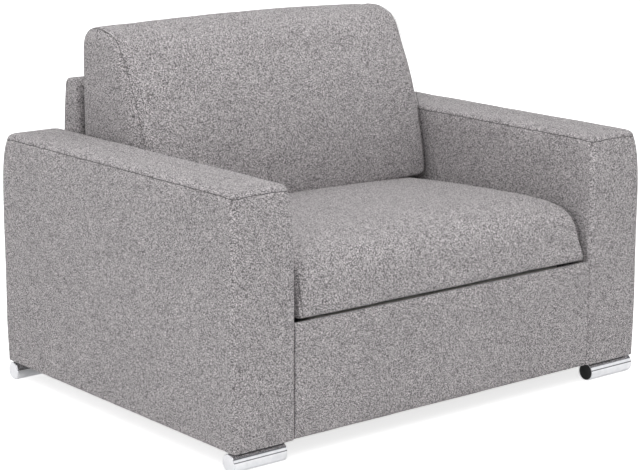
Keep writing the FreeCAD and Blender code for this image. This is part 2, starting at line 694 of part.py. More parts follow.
# Seat cushion: crowned, rounded over at the front, drawn in at its sides
deck_top = seat_rail_top + seat_deck
top_run = back_face + back_crown - seat_front - seat_roll
seat_points = (
    (seat_front + 2, seat_line, 0, 0),
    (lip_rear, seat_line, 0, 0),
    (lip_rear, deck_top, 0, 0),
    (seat_end, deck_top, 0, 0),
    (seat_end, deck_top + seat_rear_rise * 0.92, 0, 0),
    (seat_end - seat_lip, deck_top + seat_rear_rise, 0, 0.15),
    (back_face + back_crown, deck_top + seat_rear_rise, 0, 0.15),
    (seat_front + seat_roll + top_run * 0.8, deck_top + seat_rise * 0.85, 0, 0.9),
    (seat_front + seat_roll + top_run * 0.5, deck_top + seat_rise * 0.93, 0, 1),
    (seat_front + seat_roll + top_run * 0.2, deck_top + seat_rise * 0.99, 0, 1),
    (seat_front + seat_roll, deck_top + seat_rise, 0, 1),
    (seat_front + seat_roll * 0.6, deck_top + seat_rise * 0.975, 0, 0.9),
    (seat_front + seat_roll * 0.35, deck_top + seat_rise * 0.91, -0.2, 0.8),
    (seat_front + seat_roll * 0.2, deck_top + seat_rise * 0.8, -0.3, 0.6),
    (seat_front + seat_roll * 0.1, deck_top + seat_rise * 0.65, -0.4, 0.4),
    (seat_front + seat_roll * 0.02, deck_top + seat_rise * 0.37, -0.4, 0.1),
    (seat_front, deck_top + seat_rise * 0.11, -0.4, 0),
    (seat_front, seat_line + seat_lip, -0.3, 0),
)
node(soft("SeatCushion", seat_points, cushion_half, seat_crown, drawn_in), "seat_cushion")

# Back section: upright behind the back cushion, hinged to the rear of the seat section
back_rail_box = rect_tube("back_rail_one", rail_in, frame_half, back_rail_u, knuckle_at, back_rail_base,
                          back_rail_top, "z", tube_wall)
leg_hole = rod("back_rail_leg_hole", shaft / 2 + run_fit, rail_in - 1, frame_half + 1, leg_pivot_u, leg_pivot_z)
node(both("BackRails", drilled("back_rail_drilled", back_rail_box, [leg_hole])), "back_rails")
back_bars = []
for tag, at in (("base", back_rail_base), ("mid", (leg_pivot_z + back_rail_top) / 2), ("top", back_rail_top - tube)):
    back_bars.append(rect_tube("back_bar_" + tag, -rail_in, rail_in, back_rail_u, knuckle_at - slat, at, at + tube,
                               "x", tube_wall))
node(group("BackBars", back_bars), "back_bars")
slat_list = []
for i in range(6):
    share = (i + 0.5) / 6.0
    mid = (back_rail_base + tube) * (1 - share) + (back_rail_top - tube) * share
    slat_list.append(box("back_slat_%d" % i, -rail_in, rail_in, knuckle_at - slat, knuckle_at,
                         mid - slat_width / 2, mid + slat_width / 2))
node(group("BackSlats", slat_list), "back_slats")
node(plate("BackMattress", mattress_points(knuckle_at, knuckle_at + mattress, seat_level + fold_clear,
                                           back_mattress_top),
           -mattress_half, mattress_half), "back_mattress")
knee_points = [
    (back_rail_u, back_rail_base + knee_reach), (back_rail_u, back_rail_base), (knuckle_at - boss, seat_level),
    (knuckle_at, seat_level - boss), (knuckle_at + boss, seat_level), (knuckle_at, back_rail_base + knee_reach),
]
knee = plate("back_knuckle_plate", knee_points, ear_b_in, ear_b_out, ((knuckle_at, seat_level, run_hole),))
knee_block = box("back_knuckle_spacer", frame_half, ear_b_in, back_rail_u, knuckle_at,
                 back_rail_base + spacer_step, back_rail_base + knee_reach)
node(both("BackKnuckles", fuse("back_knuckle_one", [knee, knee_block])), "back_knuckles")

# Back block: front cushion, top cap, two side wings and a rear flap around frame and mattress
face = back_face
rise = back_split - back_base
slope = back_slope
back_points = (
    (face + 6, back_base, 0, 0),
    (back_rail_u, back_base, 0, 0),
    (back_rail_u, back_split, 0, 0),
    (face + slope, back_split, -1, 0),
    (face + slope * 0.89, back_split - rise * 0.06, -1, 0),
    (face + slope * 0.62, back_split - rise * 0.18, -1, 0),
    (face + slope * 0.43, back_split - rise * 0.275, -1, 0),
    (face + slope * 0.26, back_split - rise * 0.37, -1, 0),
    (face + slope * 0.13, back_split - rise * 0.5, -1, 0),
    (face + slope * 0.03, back_split - rise * 0.67, -0.9, 0),
    (face, back_split - rise * 0.83, -0.6, 0),
    (face, back_base + rise * 0.06, -0.3, 0),
)
node(soft("BackCushion", back_points, cushion_half, back_crown, drawn_in), "back_cushion")
lift = back_height - back_split
cap_points = (
    (face + slope, back_split, -1, 0),
    (back_rail_u, back_split, 0, 0),
    (back_rail_u, back_mattress_top, 0, 0),
    (back_rear, back_mattress_top, 0, 0),
    (back_rear - 1, back_split + lift * 0.63, 0, 0.2),
    (back_rear - 8, back_split + lift * 0.84, 0, 0.6),
    (back_rear - 26, back_split + lift * 0.965, 0, 0.9),
    (back_rear - 52, back_height, 0, 1),
    (back_rear - 84, back_height + 1, 0, 1),
    (face + slope * 2.85, back_height - lift * 0.02, -0.4, 1),
    (face + slope * 2.1, back_split + lift * 0.855, -0.7, 0.8),
    (face + slope * 1.6, back_split + lift * 0.58, -0.7, 0.5),
    (face + slope * 1.25, back_split + lift * 0.28, -0.8, 0.2),
)
node(soft("BackCap", cap_points, cushion_half, back_crown, drawn_in), "back_cap")
for side, sign in (("r", 1), ("l", -1)):
    if sign == 1:
        wing_in, wing_out = frame_half, cushion_half - 2
    else:
        wing_in, wing_out = 2 - cushion_half, -frame_half
    wing_points = [
        (back_rail_u, back_base), (back_rear, back_base), (back_rear, back_mattress_top),
        (back_rail_u, back_mattress_top),
    ]
    sleeve = ((leg_pivot_u, leg_pivot_z, shaft / 2 + sleeve_clear),)
    node(plate("BackWing_" + side, wing_points, wing_in, wing_out, sleeve), "back_wing_" + side)
node(box("RearFlap", -frame_half, frame_half, back_rear - flap, back_rear, flap_base, back_mattress_top),
     "rear_flap")

# Foot-end legs: two flat bars on one cross shaft, hanging beside the cushions
leg_low = leg_pivot_z - leg_length
leg_r = leg_wide / 2


def leg(name, x0, x1):
    flat = box(name + "_flat", x0, x1, leg_pivot_u - leg_r, leg_pivot_u + leg_r, leg_low, leg_pivot_z)
    top = rod(name + "_top", leg_r, x0, x1, leg_pivot_u, leg_pivot_z)
    hole = rod(name + "_hole", shaft / 2, as_dim(x0) - 1, as_dim(x1) + 1, leg_pivot_u, leg_pivot_z)
    return drilled(name, fuse(name + "_whole", [flat, top]), [hole])


node(leg("FootLegR", leg_inner, leg_outer), "foot_leg_r")
node(leg("FootLegL", -leg_outer, -leg_inner), "foot_leg_l")
node(rod("LegShaft", shaft / 2, -leg_outer, leg_outer, leg_pivot_u, leg_pivot_z), "leg_shaft")
shoe = box("leg_glide_one", leg_inner - glide_lip, leg_outer + glide_lip, leg_pivot_u - leg_r - glide_lip,
           leg_pivot_u + leg_r + glide_lip, leg_low - glide, leg_low + glide)
shoe_nest = box("leg_glide_nest", leg_inner, leg_outer, leg_pivot_u - leg_r, leg_pivot_u + leg_r, leg_low,
                leg_low + glide + 1)
node(both("LegGlides", cut("leg_glide_cut", shoe, shoe_nest)), "leg_glides")

doc.recompute()

bad = []
for item in doc.Objects:
    if "Invalid" in item.State or "Error" in item.State:
        bad.append(item.Name)
for item in shape_nodes:
    if item.Shape.isNull() or not item.Shape.isValid() or not item.Shape.Solids:
        bad.append("shape of " + item.Label)
if bad:
    raise SystemExit("not built: " + ", ".join(bad))

os.makedirs("parts", exist_ok=True)
for item in shape_nodes:
    item.Shape.exportStep(os.path.join("parts", item.Label + ".step"))
print("%d sub-parts written" % len(shape_nodes))
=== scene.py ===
import bpy
import bmesh
import math
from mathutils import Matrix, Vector, noise
from mathutils.bvhtree import BVHTree
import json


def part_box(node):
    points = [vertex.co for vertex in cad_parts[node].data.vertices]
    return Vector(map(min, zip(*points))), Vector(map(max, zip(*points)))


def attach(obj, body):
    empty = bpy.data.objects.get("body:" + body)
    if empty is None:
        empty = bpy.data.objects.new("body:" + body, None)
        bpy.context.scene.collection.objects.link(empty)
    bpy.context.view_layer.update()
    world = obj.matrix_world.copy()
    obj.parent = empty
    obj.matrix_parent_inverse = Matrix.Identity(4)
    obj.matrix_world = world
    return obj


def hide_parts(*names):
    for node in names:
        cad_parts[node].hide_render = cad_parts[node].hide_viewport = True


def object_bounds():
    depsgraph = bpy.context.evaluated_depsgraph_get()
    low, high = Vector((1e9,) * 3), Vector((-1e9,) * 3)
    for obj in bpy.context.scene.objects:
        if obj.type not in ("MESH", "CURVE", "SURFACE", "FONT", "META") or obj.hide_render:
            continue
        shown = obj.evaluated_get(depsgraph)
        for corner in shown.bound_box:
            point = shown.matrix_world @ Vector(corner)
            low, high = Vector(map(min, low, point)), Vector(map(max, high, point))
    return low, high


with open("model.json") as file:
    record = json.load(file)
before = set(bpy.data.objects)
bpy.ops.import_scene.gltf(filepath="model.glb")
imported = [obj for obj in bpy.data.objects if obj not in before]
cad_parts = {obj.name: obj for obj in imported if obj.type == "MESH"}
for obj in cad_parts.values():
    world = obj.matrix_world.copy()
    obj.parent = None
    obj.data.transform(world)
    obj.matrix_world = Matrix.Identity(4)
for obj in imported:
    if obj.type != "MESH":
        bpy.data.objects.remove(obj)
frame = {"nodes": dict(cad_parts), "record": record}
cad_low, cad_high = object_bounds()
scene = bpy.context.scene

# Lengths are in millimetres: x across, u back from the arms' front plane, z up
DEPTH = round((cad_high[1] - cad_low[1]) * 1000.0, 1)
SEAT_HALF = 442.0
BLOCK_HALF = 446.0
PANEL_GAP = 0.6
BEAD = 0.9
QUILT_PITCH = 92.0
QUILT_DEPTH = 3.6
TAPE_BEAD = 2.6

# Inflation of the cushions: remesh size in metres, largest movement in millimetres, pressure
VOXEL = 0.009
PUFF = 6.0
PRESSURE = 3.0


def at(x, u, z):
    """A point of the chair in the frame's metres."""
    return Vector((x / 1000.0, (u - DEPTH / 2) / 1000.0, z / 1000.0))


def extent(node):
    """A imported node's box in millimetres: x, u and z, each as its lowest and highest value."""
    low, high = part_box(node)
    shift = (0.0, DEPTH / 2, 0.0)
    return [tuple(round(v[k] * 1000.0 + shift[k], 1) + 0.0 for v in (low, high)) for k in range(3)]


# Camera
yaw = math.radians(38.87)
pitch = math.radians(12.79)
forward = Vector((math.sin(yaw) * math.cos(pitch), math.cos(yaw) * math.cos(pitch), -math.sin(pitch)))
cam_data = bpy.data.cameras.new("camera")
camera = bpy.data.objects.new("camera", cam_data)
scene.collection.objects.link(camera)
camera.location = (-3.0716, -3.7877, 1.4653)
camera.rotation_euler = forward.to_track_quat("-Z", "Y").to_euler()
cam_data.sensor_width = 36.0
cam_data.lens = 113.74
cam_data.shift_x = 0.0062
cam_data.clip_start = 0.1
cam_data.clip_end = 60.0
scene.camera = camera


# Node helpers
def add(nodes, kind, **props):
    item = nodes.new(kind)
    for key, value in props.items():
        setattr(item, key, value)
    return item


class Tree:
    """Builds shader maths in one node tree with short calls."""

    def __init__(self, tree):
        self.nodes = tree.nodes
        self.links = tree.links
        self.coords = add(self.nodes, "ShaderNodeTexCoord")

    def put(self, socket, value):
        if isinstance(value, bpy.types.NodeSocket):
            self.links.new(value, socket)
        else:
            socket.default_value = value

    def math(self, op, a, b=0.0, c=0.0):
        item = add(self.nodes, "ShaderNodeMath", operation=op)
        self.put(item.inputs[0], a)
        self.put(item.inputs[1], b)
        self.put(item.inputs[2], c)
        return item.outputs[0]

    def split(self, vector):
        item = add(self.nodes, "ShaderNodeSeparateXYZ")
        self.links.new(vector, item.inputs[0])
        return item.outputs

    def join(self, x, y, z):
        item = add(self.nodes, "ShaderNodeCombineXYZ")
        for socket, value in zip(item.inputs, (x, y, z)):
            self.put(socket, value)
        return item.outputs[0]

    def blend(self, fac, a, b):
        """Plain number between a and b."""
        item = add(self.nodes, "ShaderNodeMix", data_type="FLOAT")
        self.put(item.inputs[0], fac)
        self.put(item.inputs[2], a)
        self.put(item.inputs[3], b)
        return item.outputs[0]

    def tint(self, fac, a, b, mode="MIX"):
        item = add(self.nodes, "ShaderNodeMix", data_type="RGBA", blend_type=mode)
        self.put(item.inputs[0], fac)
        self.put(item.inputs[6], a)
        self.put(item.inputs[7], b)
        return item.outputs[2]

    def speckle(self, vector):
        item = add(self.nodes, "ShaderNodeTexWhiteNoise", noise_dimensions="3D")
        self.links.new(vector, item.inputs["Vector"])
        return item.outputs["Value"]

    def cloud(self, scale, detail=3.0, rough=0.5, vector=None, stretch=(1, 1, 1)):
        if vector is None:
            vector = self.coords.outputs["Object"]
        if stretch != (1, 1, 1):
            item = add(self.nodes, "ShaderNodeMapping")
            item.inputs["Scale"].default_value = stretch
            self.links.new(vector, item.inputs["Vector"])
            vector = item.outputs[0]
        item = add(self.nodes, "ShaderNodeTexNoise")
        self.links.new(vector, item.inputs["Vector"])
        item.inputs["Scale"].default_value = scale
        item.inputs["Detail"].default_value = detail
        item.inputs["Roughness"].default_value = rough
        return item.outputs["Fac"]

    def ramp(self, fac, stops, mode="LINEAR"):
        item = add(self.nodes, "ShaderNodeValToRGB")
        item.color_ramp.interpolation = mode
        keys = item.color_ramp.elements
        while len(keys) < len(stops):
            keys.new(0.5)
        for key, (place, colour) in zip(keys, stops):
            key.position = place
            key.color = (*colour, 1.0)
        self.put(item.inputs[0], fac)
        return item.outputs["Color"]


class Maker(Tree):
    """One surface material."""

    def __init__(self, name):
        self.mat = bpy.data.materials.new(name)
        self.mat.use_nodes = True
        super().__init__(self.mat.node_tree)
        self.shader = self.nodes["Principled BSDF"]

    def bump(self, height, distance, strength=1.0):
        item = add(self.nodes, "ShaderNodeBump")
        item.inputs["Strength"].default_value = strength
        item.inputs["Distance"].default_value = distance
        self.links.new(height, item.inputs["Height"])
        self.links.new(item.outputs["Normal"], self.shader.inputs["Normal"])

    def planes(self, unit):
        """Coordinates on whichever main plane the surface faces, in lengths of unit millimetres."""
        x, y, z = self.split(self.coords.outputs["Object"])
        nx, ny, nz = self.split(self.coords.outputs["Normal"])
        ax = self.math("ABSOLUTE", nx)
        ay = self.math("ABSOLUTE", ny)
        az = self.math("ABSOLUTE", nz)
        side = self.math("MULTIPLY", self.math("GREATER_THAN", ax, ay), self.math("GREATER_THAN", ax, az))
        top = self.math("MULTIPLY", self.math("GREATER_THAN", az, ax), self.math("GREATER_THAN", az, ay))
        across = self.blend(side, x, y)
        along = self.blend(top, z, y)
        scale = 1000.0 / unit
        kind = self.math("ADD", self.math("MULTIPLY", side, 7.0), self.math("MULTIPLY", top, 13.0))
        return self.math("MULTIPLY", across, scale), self.math("MULTIPLY", along, scale), kind


def weave(name, thread, stops, shift=0.06, sheen=0.12, depth=0.00028, gleam=0.95):
    """Woven cloth: short floats of warp and weft with a random shade each, over slow changes of tone."""
    m = Maker(name)
    a, b, kind = m.planes(thread)
    col = m.math("FLOOR", a)
    row = m.math("FLOOR", b)
    half_row = m.math("MULTIPLY", row, 0.5)
    half_col = m.math("MULTIPLY", col, 0.5)
    weft = m.math("FLOOR", m.math("ADD", m.math("MULTIPLY", a, 0.5), half_row))
    warp = m.math("FLOOR", m.math("ADD", m.math("MULTIPLY", b, 0.5), half_col))
    shade_weft = m.speckle(m.join(weft, row, kind))
    shade_warp = m.speckle(m.join(col, warp, m.math("ADD", kind, 3.0)))
    over = m.math("MODULO", m.math("ABSOLUTE", m.math("ADD", col, row)), 2.0)
    shade = m.blend(over, shade_weft, shade_warp)
    fleck = m.ramp(shade, stops)
    slow = m.cloud(7.0, 3.0, 0.55)
    fine = m.cloud(650.0, 2.0, 0.6)
    tone = m.math("ADD", m.math("MULTIPLY", m.math("SUBTRACT", slow, 0.5), shift * 2.4), 1.0)
    tone = m.math("ADD", tone, m.math("MULTIPLY", m.math("SUBTRACT", fine, 0.5), 0.16))
    grey = m.join(tone, tone, tone)
    colour = m.tint(1.0, fleck, grey, "MULTIPLY")
    m.links.new(colour, m.shader.inputs["Base Color"])
    m.shader.inputs["Roughness"].default_value = gleam
    m.shader.inputs["Specular IOR Level"].default_value = 0.25
    m.shader.inputs["Sheen Weight"].default_value = sheen
    m.shader.inputs["Sheen Roughness"].default_value = 0.5
    round_weft = m.math("ABSOLUTE", m.math("SINE", m.math("MULTIPLY", b, math.pi)))
    round_warp = m.math("ABSOLUTE", m.math("SINE", m.math("MULTIPLY", a, math.pi)))
    height = m.blend(over, round_weft, round_warp)
    height = m.math("ADD", m.math("MULTIPLY", height, 0.7), m.math("MULTIPLY", shade, 0.5))
    height = m.math("ADD", height, m.math("MULTIPLY", fine, 0.4))
    m.bump(height, depth)
    return m.mat


def grey_steps(*values):
    """Evenly spread ramp stops of a faintly warm grey."""
    last = len(values) - 1
    return [(i / last, (v, v * 0.945, v * 0.96)) for i, v in enumerate(values)]


cloth = weave("grey_weave", 1.2, grey_steps(0.035, 0.065, 0.165, 0.32, 0.53, 0.76, 0.84))
ticking_tones = [(0.0, (0.62, 0.60, 0.55)), (0.5, (0.74, 0.72, 0.67)), (1.0, (0.86, 0.84, 0.79))]
ticking = weave("ticking", 1.4, ticking_tones, shift=0.03, sheen=0.08, depth=0.0003)
tape = weave("border_tape", 1.1, [(0.0, (0.30, 0.30, 0.31)), (1.0, (0.46, 0.46, 0.47))], depth=0.0003)


# Seam bead: a sewn thread line whose near-black colour is painted shade of the sunk seam groove.
def seam_shade_material():
    m = Maker("seam_thread_painted_shade")
    spots = m.cloud(900.0, 2.0)
    m.links.new(m.ramp(spots, [(0.3, (0.035, 0.033, 0.034)), (0.7, (0.085, 0.08, 0.082))]),
                m.shader.inputs["Base Color"])
    m.shader.inputs["Roughness"].default_value = 0.9
    m.bump(spots, 0.0003)
    return m.mat


thread = seam_shade_material()


def chrome_material():
    m = Maker("bright_chrome")
    haze = m.cloud(60.0, 4.0, 0.6)
    m.shader.inputs["Metallic"].default_value = 1.0
    m.links.new(m.ramp(haze, [(0.35, (0.80, 0.81, 0.83)), (0.65, (0.88, 0.88, 0.90))]),
                m.shader.inputs["Base Color"])
    m.links.new(m.math("ADD", m.math("MULTIPLY", haze, 0.06), 0.03), m.shader.inputs["Roughness"])
    m.bump(m.cloud(35.0, 1.0), 0.0001, 0.3)
    return m.mat


def plastic_material():
    m = Maker("black_moulding")
    grain = m.cloud(1400.0, 2.0, 0.7)
    m.links.new(m.ramp(m.cloud(40.0), [(0.3, (0.012, 0.012, 0.013)), (0.7, (0.028, 0.028, 0.03))]),
                m.shader.inputs["Base Color"])
    m.links.new(m.math("ADD", m.math("MULTIPLY", grain, 0.25), 0.35), m.shader.inputs["Roughness"])
    m.bump(grain, 0.0002)
    return m.mat


def paint_material():
    m = Maker("satin_frame_paint")
    wear = m.cloud(55.0, 6.0, 0.7)
    peel = m.cloud(500.0, 1.0)
    m.links.new(m.ramp(wear, [(0.30, (0.10, 0.10, 0.105)), (0.62, (0.045, 0.045, 0.048)),
                              (0.78, (0.06, 0.06, 0.063))]), m.shader.inputs["Base Color"])
    m.links.new(m.math("ADD", m.math("MULTIPLY", wear, 0.35), 0.25), m.shader.inputs["Roughness"])
    m.bump(peel, 0.0002, 0.5)
    return m.mat


def zinc_material():
    m = Maker("zinc_steel")
    streak = m.cloud(90.0, 4.0, 0.6, stretch=(0.2, 1.0, 1.0))
    spangle = m.cloud(240.0, 2.0)
    m.shader.inputs["Metallic"].default_value = 1.0
    mixed = m.math("MULTIPLY", m.math("ADD", streak, spangle), 0.5)
    tones = [(0.35, (0.42, 0.43, 0.44)), (0.65, (0.64, 0.64, 0.63))]
    m.links.new(m.ramp(mixed, tones), m.shader.inputs["Base Color"])
    m.links.new(m.math("ADD", m.math("MULTIPLY", streak, 0.3), 0.25), m.shader.inputs["Roughness"])
    m.bump(streak, 0.0001, 0.5)
    return m.mat


def beech_material():
    m = Maker("beech_slat")
    grain = m.cloud(60.0, 6.0, 0.65, stretch=(0.06, 1.0, 1.0))
    pores = m.cloud(420.0, 3.0, 0.7, stretch=(0.08, 1.0, 1.0))
    mixed = m.math("ADD", m.math("MULTIPLY", grain, 0.7), m.math("MULTIPLY", pores, 0.3))
    tones = [(0.30, (0.40, 0.24, 0.12)), (0.50, (0.60, 0.41, 0.23)), (0.70, (0.70, 0.52, 0.32))]
    m.links.new(m.ramp(mixed, tones), m.shader.inputs["Base Color"])
    m.links.new(m.math("ADD", m.math("MULTIPLY", grain, 0.2), 0.35), m.shader.inputs["Roughness"])
    m.bump(pores, 0.0002, 0.5)
    return m.mat


def board_material():
    m = Maker("raw_board")
    flakes = m.cloud(170.0, 6.0, 0.75)
    wide = m.cloud(14.0, 3.0)
    mixed = m.math("ADD", m.math("MULTIPLY", flakes, 0.75), m.math("MULTIPLY", wide, 0.25))
    tones = [(0.35, (0.30, 0.20, 0.11)), (0.50, (0.48, 0.35, 0.21)), (0.66, (0.62, 0.48, 0.32))]
    m.links.new(m.ramp(mixed, tones), m.shader.inputs["Base Color"])
    m.shader.inputs["Roughness"].default_value = 0.85
    m.bump(flakes, 0.0004)
    return m.mat


def rubber_material():
    m = Maker("moulded_rubber")
    grain = m.cloud(700.0, 3.0, 0.7)
    m.links.new(m.ramp(m.cloud(60.0), [(0.3, (0.018, 0.018, 0.018)), (0.7, (0.040, 0.039, 0.038))]),
                m.shader.inputs["Base Color"])
    m.links.new(m.math("ADD", m.math("MULTIPLY", grain, 0.2), 0.65), m.shader.inputs["Roughness"])
    m.bump(grain, 0.0003)
    return m.mat


finishes = {
    "bright_tube": chrome_material(), "black_plastic": plastic_material(), "frame_paint": paint_material(),
    "pin_steel": zinc_material(), "slat_wood": beech_material(), "board": board_material(),
    "glide_rubber": rubber_material(), "upholstery": cloth, "mattress_cloth": ticking,
}
for part in frame["record"]["subparts"]:
    data = frame["nodes"][part["node"]].data
    if not data.materials:
        data.materials.append(None)
    for i in range(len(data.materials)):
        data.materials[i] = finishes[part["material_slot"]]
frame["nodes"]["front_board"].data.materials[0] = cloth


def disc(name, node, body):
    """A bright end cap with a rounded rim and a slightly domed face, in place of the plain cap."""
    low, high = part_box(node)
    mid = [(a + b) / 2 for a, b in zip(low, high)]
    radius = (high[2] - low[2]) / 2
    side = -1.0 if mid[0] < 0 else 1.0
    outer = low[0] if side < 0 else high[0]
    inner = high[0] if side < 0 else low[0]
    rim = 0.0022
    profile = [(inner, 0.012), (outer - side * 0.004, 0.012), (outer - side * 0.004, radius - 0.0004),
               (outer - side * 0.0031, radius)]
    for i in range(7):
        angle = math.radians(15.0 * i)
        profile.append((outer - side * (rim + 0.0006) + side * rim * math.sin(angle),
                        radius - rim + rim * math.cos(angle)))
    for share in (0.8, 0.6, 0.4, 0.2):
        profile.append((outer - side * 0.0006 * share ** 2, (radius - rim) * share))
    verts = []
    count = 48
    for x, r in profile:
        for i in range(count):
            angle = 2 * math.pi * i / count
            z = max(mid[2] + r * math.sin(angle), low[2])
            verts.append(Vector((x, mid[1] + r * math.cos(angle), z)))
    obj = build(name, verts, skin(len(profile), count, 2), finishes["bright_tube"], body)
    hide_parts(node)


# Mesh helpers
def skin(levels, count, caps=0):
    """Quads between rings of count points, and the closing faces of the first caps ends."""
    faces = []
    for k in range(levels - 1):
        for i in range(count):
            j = (i + 1) % count
            faces.append((k * count + i, k * count + j, (k + 1) * count + j, (k + 1) * count + i))
    for k in (0, levels - 1)[:caps]:
        faces.append(tuple(range(k * count, (k + 1) * count)))
    return faces


def build(name, verts, faces, mat, body, levels=0):
    mesh = bpy.data.meshes.new(name)
    mesh.from_pydata([tuple(v) for v in verts], [], faces)
    mesh.validate()
    obj = bpy.data.objects.new(name, mesh)
    scene.collection.objects.link(obj)
    bm = bmesh.new()
    bm.from_mesh(mesh)
    bmesh.ops.remove_doubles(bm, verts=bm.verts, dist=0.00005)
    bmesh.ops.recalc_face_normals(bm, faces=bm.faces)
    for face in bm.faces:
        face.smooth = True
    bm.to_mesh(mesh)
    bm.free()
    mesh.materials.append(mat)
    if levels:
        sub = obj.modifiers.new("round", "SUBSURF")
        sub.levels = levels
        sub.render_levels = levels
    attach(obj, body)
    return obj


def resample(points, step, closed=True):
    """Even points along a run of 2-D points."""
    pts = list(points) + ([points[0]] if closed else [])
    lengths = [math.dist(a, b) for a, b in zip(pts, pts[1:])]
    total = sum(lengths)
    count = max(8, round(total / step))
    out = []
    seg = 0
    run = 0.0
    for i in range(count if closed else count + 1):
        want = total * i / count
        while seg < len(lengths) - 1 and run + lengths[seg] < want:
            run += lengths[seg]
            seg += 1
        t = 0.0 if lengths[seg] == 0 else (want - run) / lengths[seg]
        a, b = pts[seg], pts[seg + 1]
        out.append(tuple(p + (q - p) * t for p, q in zip(a, b)))
    return out


def ease(points, rounds=3):
    """Cuts the corners of a closed outline again and again until it is round."""
    for _ in range(rounds):
        out = []
        for a, b in zip(points, points[1:] + points[:1]):
            out.append(tuple(p * 0.75 + q * 0.25 for p, q in zip(a, b)))
            out.append(tuple(p * 0.25 + q * 0.75 for p, q in zip(a, b)))
        points = out
    return points


def inward(points):
    """Unit directions into a closed outline at each of its points."""
    area = sum(a[0] * b[1] - b[0] * a[1] for a, b in zip(points, points[1:] + points[:1]))
    turn = 1.0 if area > 0 else -1.0
    out = []
    count = len(points)
    for i in range(count):
        a = points[i - 1]
        b = points[(i + 1) % count]
        du, dz = b[0] - a[0], b[1] - a[1]
        size = math.hypot(du, dz) or 1.0
        out.append((-dz * turn / size, du * turn / size))
    return out


def ripple(x, u, z, seed, amount, scale):
    """Small random swell in millimetres."""
    return amount * noise.noise(Vector((x * scale + seed, u * scale, z * scale)))


def pillow(name, outline, half, step, crown, body, mat, cap_bulge=1.0, seed=1.0, wave=1.0):
    """A stuffed piece swept across X. Outline points are (u, z, edge radius at the ends, crown share)."""
    loop = resample(outline, step)
    dirs = inward([(p[0], p[1]) for p in loop])
    count = len(loop)
    biggest = max(p[2] for p in loop)
    stations = []
    for i in range(9):
        stations.append(half - biggest * (1 - math.sin(i / 8 * math.pi / 2)) if i else half - biggest)
    stations = sorted(set(round(s, 3) for s in stations))
    inner_count = max(2, round(2 * (half - biggest) / step))
    middle = [-(half - biggest) + 2 * (half - biggest) * i / inner_count for i in range(1, inner_count)]
    xs = [-s for s in reversed(stations)] + middle + stations
    verts = []
    for x in xs:
        edge = half - abs(x)
        for (u, z, radius, share), (du, dz) in zip(loop, dirs):
            reach = max(0.0, radius - edge)
            inset = radius - math.sqrt(max(0.0, radius * radius - reach * reach))
            swell = crown * share * max(0.0, 1 - (x / half) ** 2)
            swell += ripple(x, u, z, seed, wave, 0.008) + ripple(x, u, z, seed + 40, wave * 0.35, 0.03)
            shift = inset - swell
            verts.append(at(x, u + du * shift, z + dz * shift))
    faces = skin(len(xs), count)
    for end, sign in ((0, -1), (len(xs) - 1, 1)):
        rim = [v.copy() for v in verts[end * count:(end + 1) * count]]
        mid = sum(rim, Vector()) / count
        before = end * count
        for share in (0.85, 0.66, 0.45, 0.22):
            start = len(verts)
            for v in rim:
                out = Vector((sign * cap_bulge * (1 - share ** 2) / 1000.0, 0, 0))
                verts.append(mid + (v - mid) * share + out)
            for i in range(count):
                j = (i + 1) % count
                faces.append((before + i, before + j, start + j, start + i))
            before = start
        verts.append(mid + Vector((sign * cap_bulge / 1000.0, 0, 0)))
        hub = len(verts) - 1
        for i in range(count):
            faces.append((before + i, before + (i + 1) % count, hub))
    return build(name, verts, faces, mat, body)


def ring(x0, x1, u0, u1, radius, step):
    """Points round a rounded rectangle as (x, u, outward x, outward u). Step fixes the count."""
    radius = max(0.0, min(radius, (x1 - x0) / 2, (u1 - u0) / 2))
    quarter = ((x1, u1, -1, -1, 0), (x0, u1, 1, -1, 90), (x0, u0, 1, 1, 180), (x1, u0, -1, 1, 270))
    arcs = []
    for cx, cu, sx, su, start in quarter:
        arc = []
        for i in range(7):
            angle = math.radians(start + 15 * i)
            arc.append((cx + radius * (sx + math.cos(angle)), cu + radius * (su + math.sin(angle)),
                        math.cos(angle), math.sin(angle)))
        arcs.append(arc)
    out = []
    for k in range(4):
        out += arcs[k]
        a = arcs[k][-1]
        b = arcs[(k + 1) % 4][0]
        for i in range(1, step[k % 2]):
            t = i / step[k % 2]
            out.append(tuple(p + (q - p) * t for p, q in zip(a, b)))
    return out


def tube(name, path, radius, mat, body, closed=True, sides=6):
    """A thin round bead along a run of points in metres."""
    count = len(path)
    verts = []
    up_hint = Vector((0.0, 0.0, 1.0))
    for i, p in enumerate(path):
        a = path[i - 1] if (closed or i) else p
        b = path[(i + 1) % count] if (closed or i < count - 1) else p
        way = (b - a).normalized()
        if abs(way.dot(up_hint)) > 0.9:
            side = way.cross(Vector((1.0, 0.0, 0.0))).normalized()
        else:
            side = way.cross(up_hint).normalized()
        up = side.cross(way)
        for k in range(sides):
            angle = 2 * math.pi * k / sides
            verts.append(p + (side * math.cos(angle) + up * math.sin(angle)) * radius / 1000.0)
    faces = []
    for i in range(count if closed else count - 1):
        j = (i + 1) % count
        for k in range(sides):
            n = (k + 1) % sides
            faces.append((i * sides + k, i * sides + n, j * sides + n, j * sides + k))
    if not closed:
        faces.append(tuple(range(sides)))
        faces.append(tuple((count - 1) * sides + k for k in range(sides)))
    return build(name, verts, faces, mat, body)
